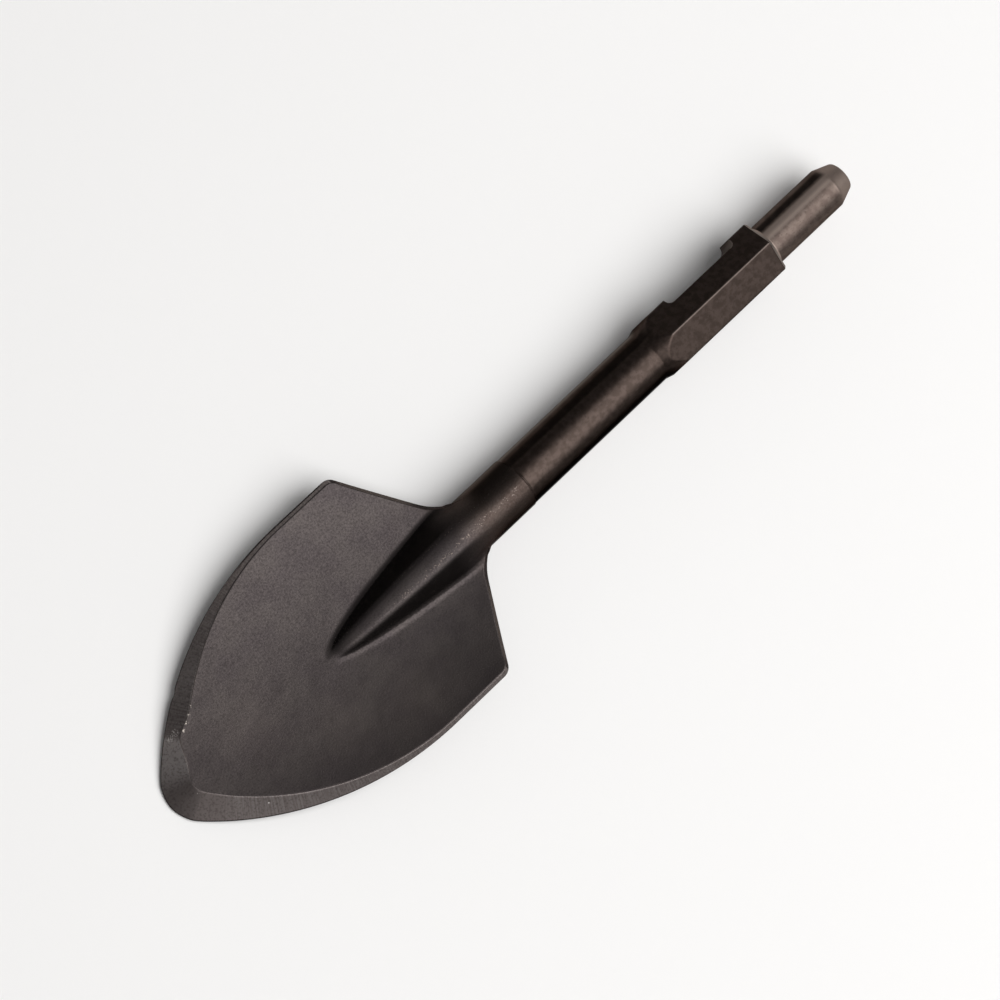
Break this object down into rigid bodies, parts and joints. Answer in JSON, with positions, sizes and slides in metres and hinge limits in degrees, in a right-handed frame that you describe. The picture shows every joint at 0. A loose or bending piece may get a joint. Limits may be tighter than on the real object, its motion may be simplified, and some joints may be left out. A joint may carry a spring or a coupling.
{
  "type": "spade chisel",
  "caption": "Flat, slightly hollow spade blade with a ground cutting edge, forged onto a round shank that ends in a notched hexagon and a plain round pin.",
  "frame": {"origin": "middle of the struck end, the small flat face of the round pin", "axes": "+X along the shank out of the struck end, so the blade reaches towards -X; +Z out of the front of the blade, the hollow side with the long ridge and the ground edge; +Y across the blade, towards the flat that has the notch"},
  "size_m": [0.463, 0.1274, 0.0346],
  "materials": {
    "forged_steel": "dark scale on the forged blade and shank, a ground band along the cutting edge, turned hexagon and pin"
  },
  "bodies": {
    "root": {"spade_chisel": "forged_steel"}
  },
  "joints": []
}
